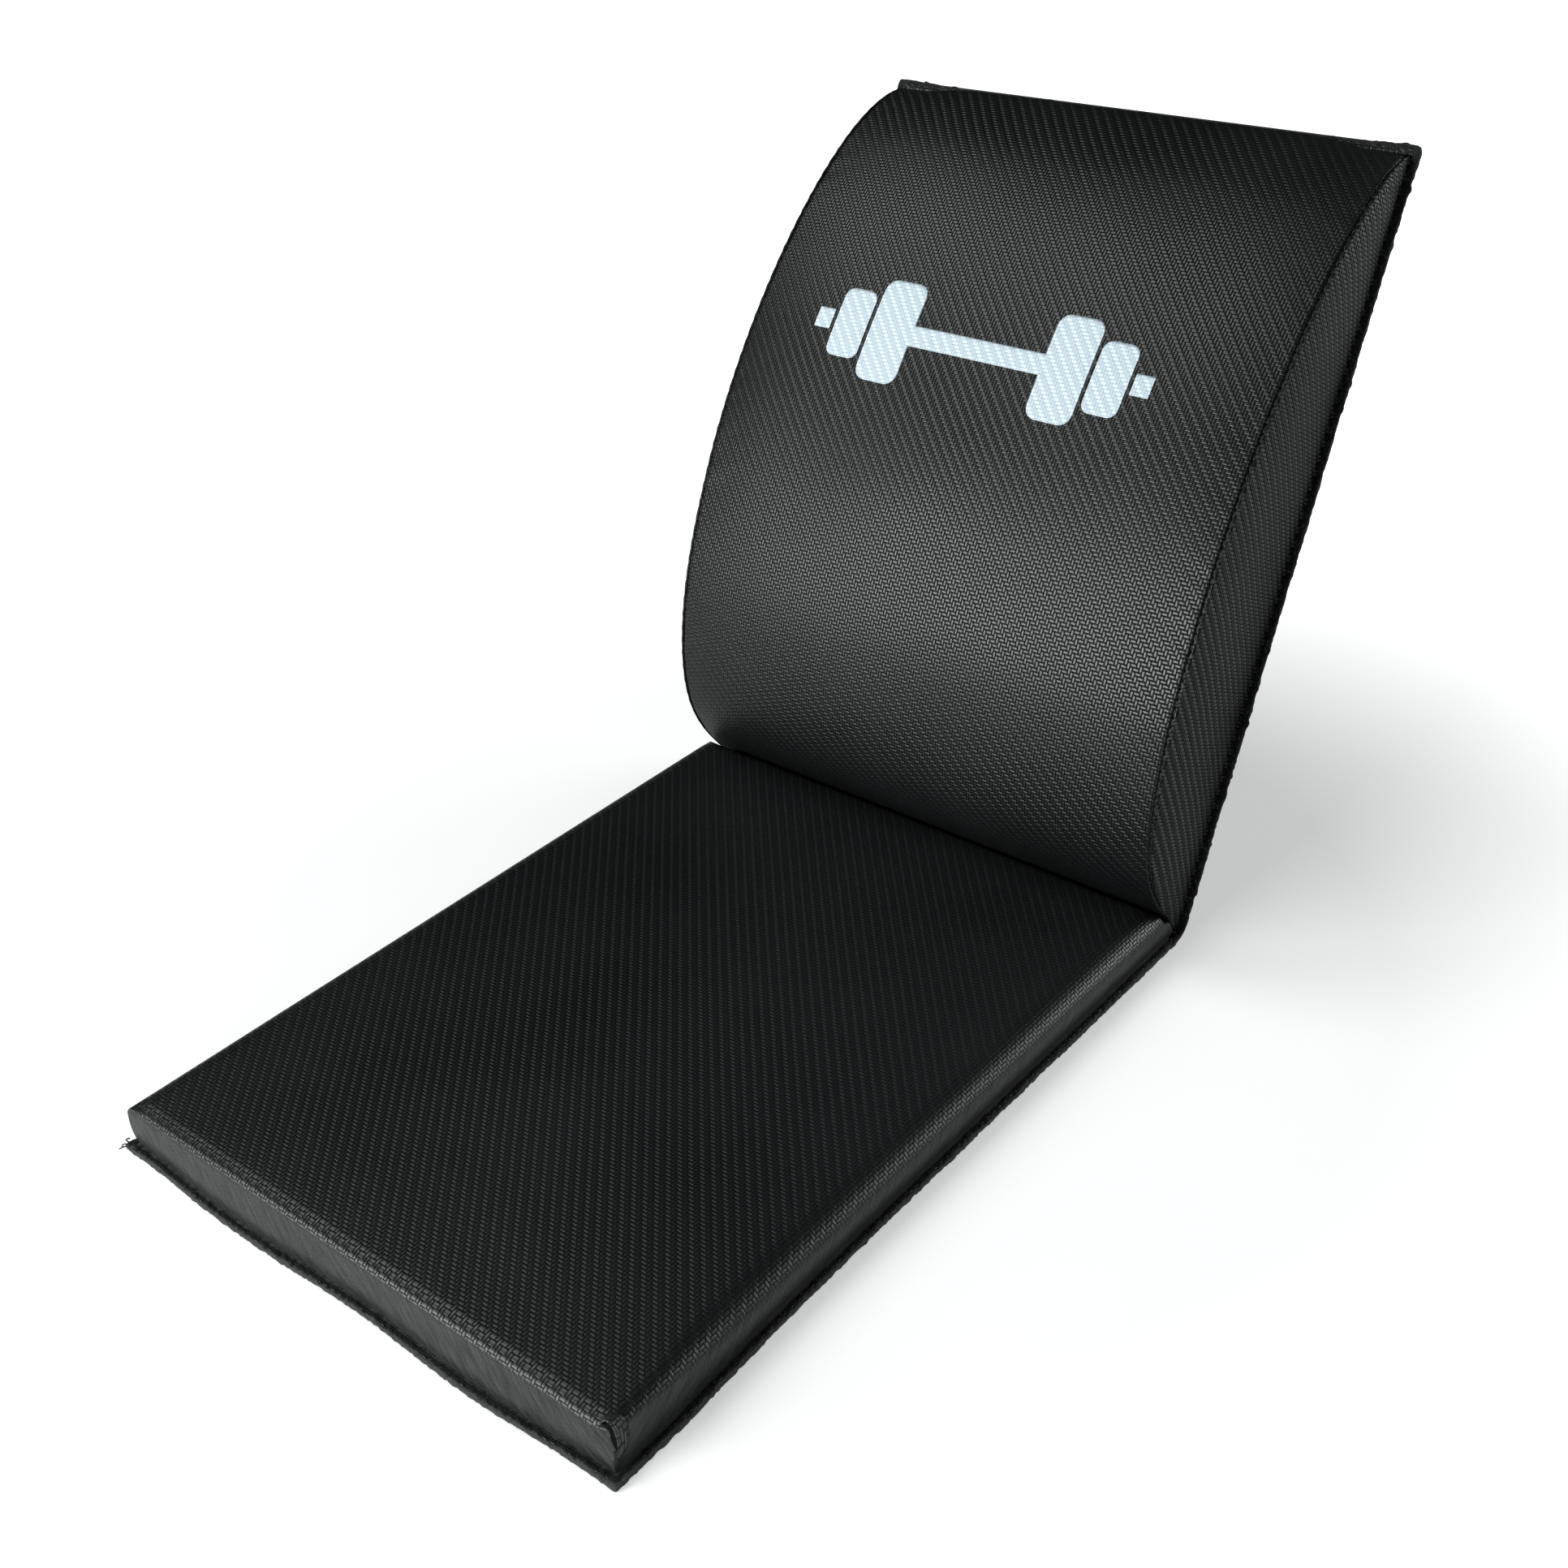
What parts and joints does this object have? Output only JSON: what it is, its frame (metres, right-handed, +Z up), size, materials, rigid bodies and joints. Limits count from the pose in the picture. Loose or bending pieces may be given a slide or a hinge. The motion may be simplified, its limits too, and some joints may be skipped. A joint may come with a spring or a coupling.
{
  "type": "folding sit-up mat",
  "caption": "Folding exercise mat with an arched back pad raised on a cloth fold line from a flat tail pad, for sit-ups and stretching.",
  "frame": {"origin": "on the floor, under the middle of the mat's box as it stands", "axes": "+Z up; +Y from the tail pad's front towards the fold line; +X to the right of someone who looks along +Y"},
  "size_m": [0.315, 0.6108, 0.3615],
  "materials": {
    "cover_vinyl": "embossed twill vinyl, satin",
    "side_vinyl": "embossed twill vinyl, satin",
    "base_cloth": "plain black cloth with fine grip dots",
    "edge_tape": "fuzzy woven tape",
    "hinge_cloth": "plain black cloth",
    "thread": "twisted thread",
    "foam": "closed-cell foam",
    "print_ink": "flat screen-printed ink"
  },
  "bodies": {
    "tail_pad": {"tail_foam_core": "foam", "tail_top_cover": "cover_vinyl", "tail_base_panel": "base_cloth", "tail_edge_binding": "edge_tape", "tail_binding_stitch": "thread", "tail_corner_seam_front_left": "thread", "tail_corner_seam_front_right": "thread", "tail_corner_seam_rear_left": "thread", "tail_corner_seam_rear_right": "thread", "hinge_strip_tail": "hinge_cloth", "hinge_stitch_tail": "thread"},
    "back_pad": {"back_foam_core": "foam", "back_face_panel": "cover_vinyl", "back_side_panel_left": "side_vinyl", "back_side_panel_right": "side_vinyl", "back_base_panel": "base_cloth", "back_edge_binding": "edge_tape", "back_binding_stitch": "thread", "back_seam_stitch_left": "thread", "back_seam_stitch_right": "thread", "back_print": "print_ink", "hinge_strip_back": "hinge_cloth", "hinge_stitch_back": "thread"}
  },
  "joints": [
    {"name": "fold", "type": "hinge", "parent": "tail_pad", "child": "back_pad", "pos_m": [0, 0.11962, 0], "axis": [-1, 0, 0], "range_deg": [0, 240]}
  ]
}
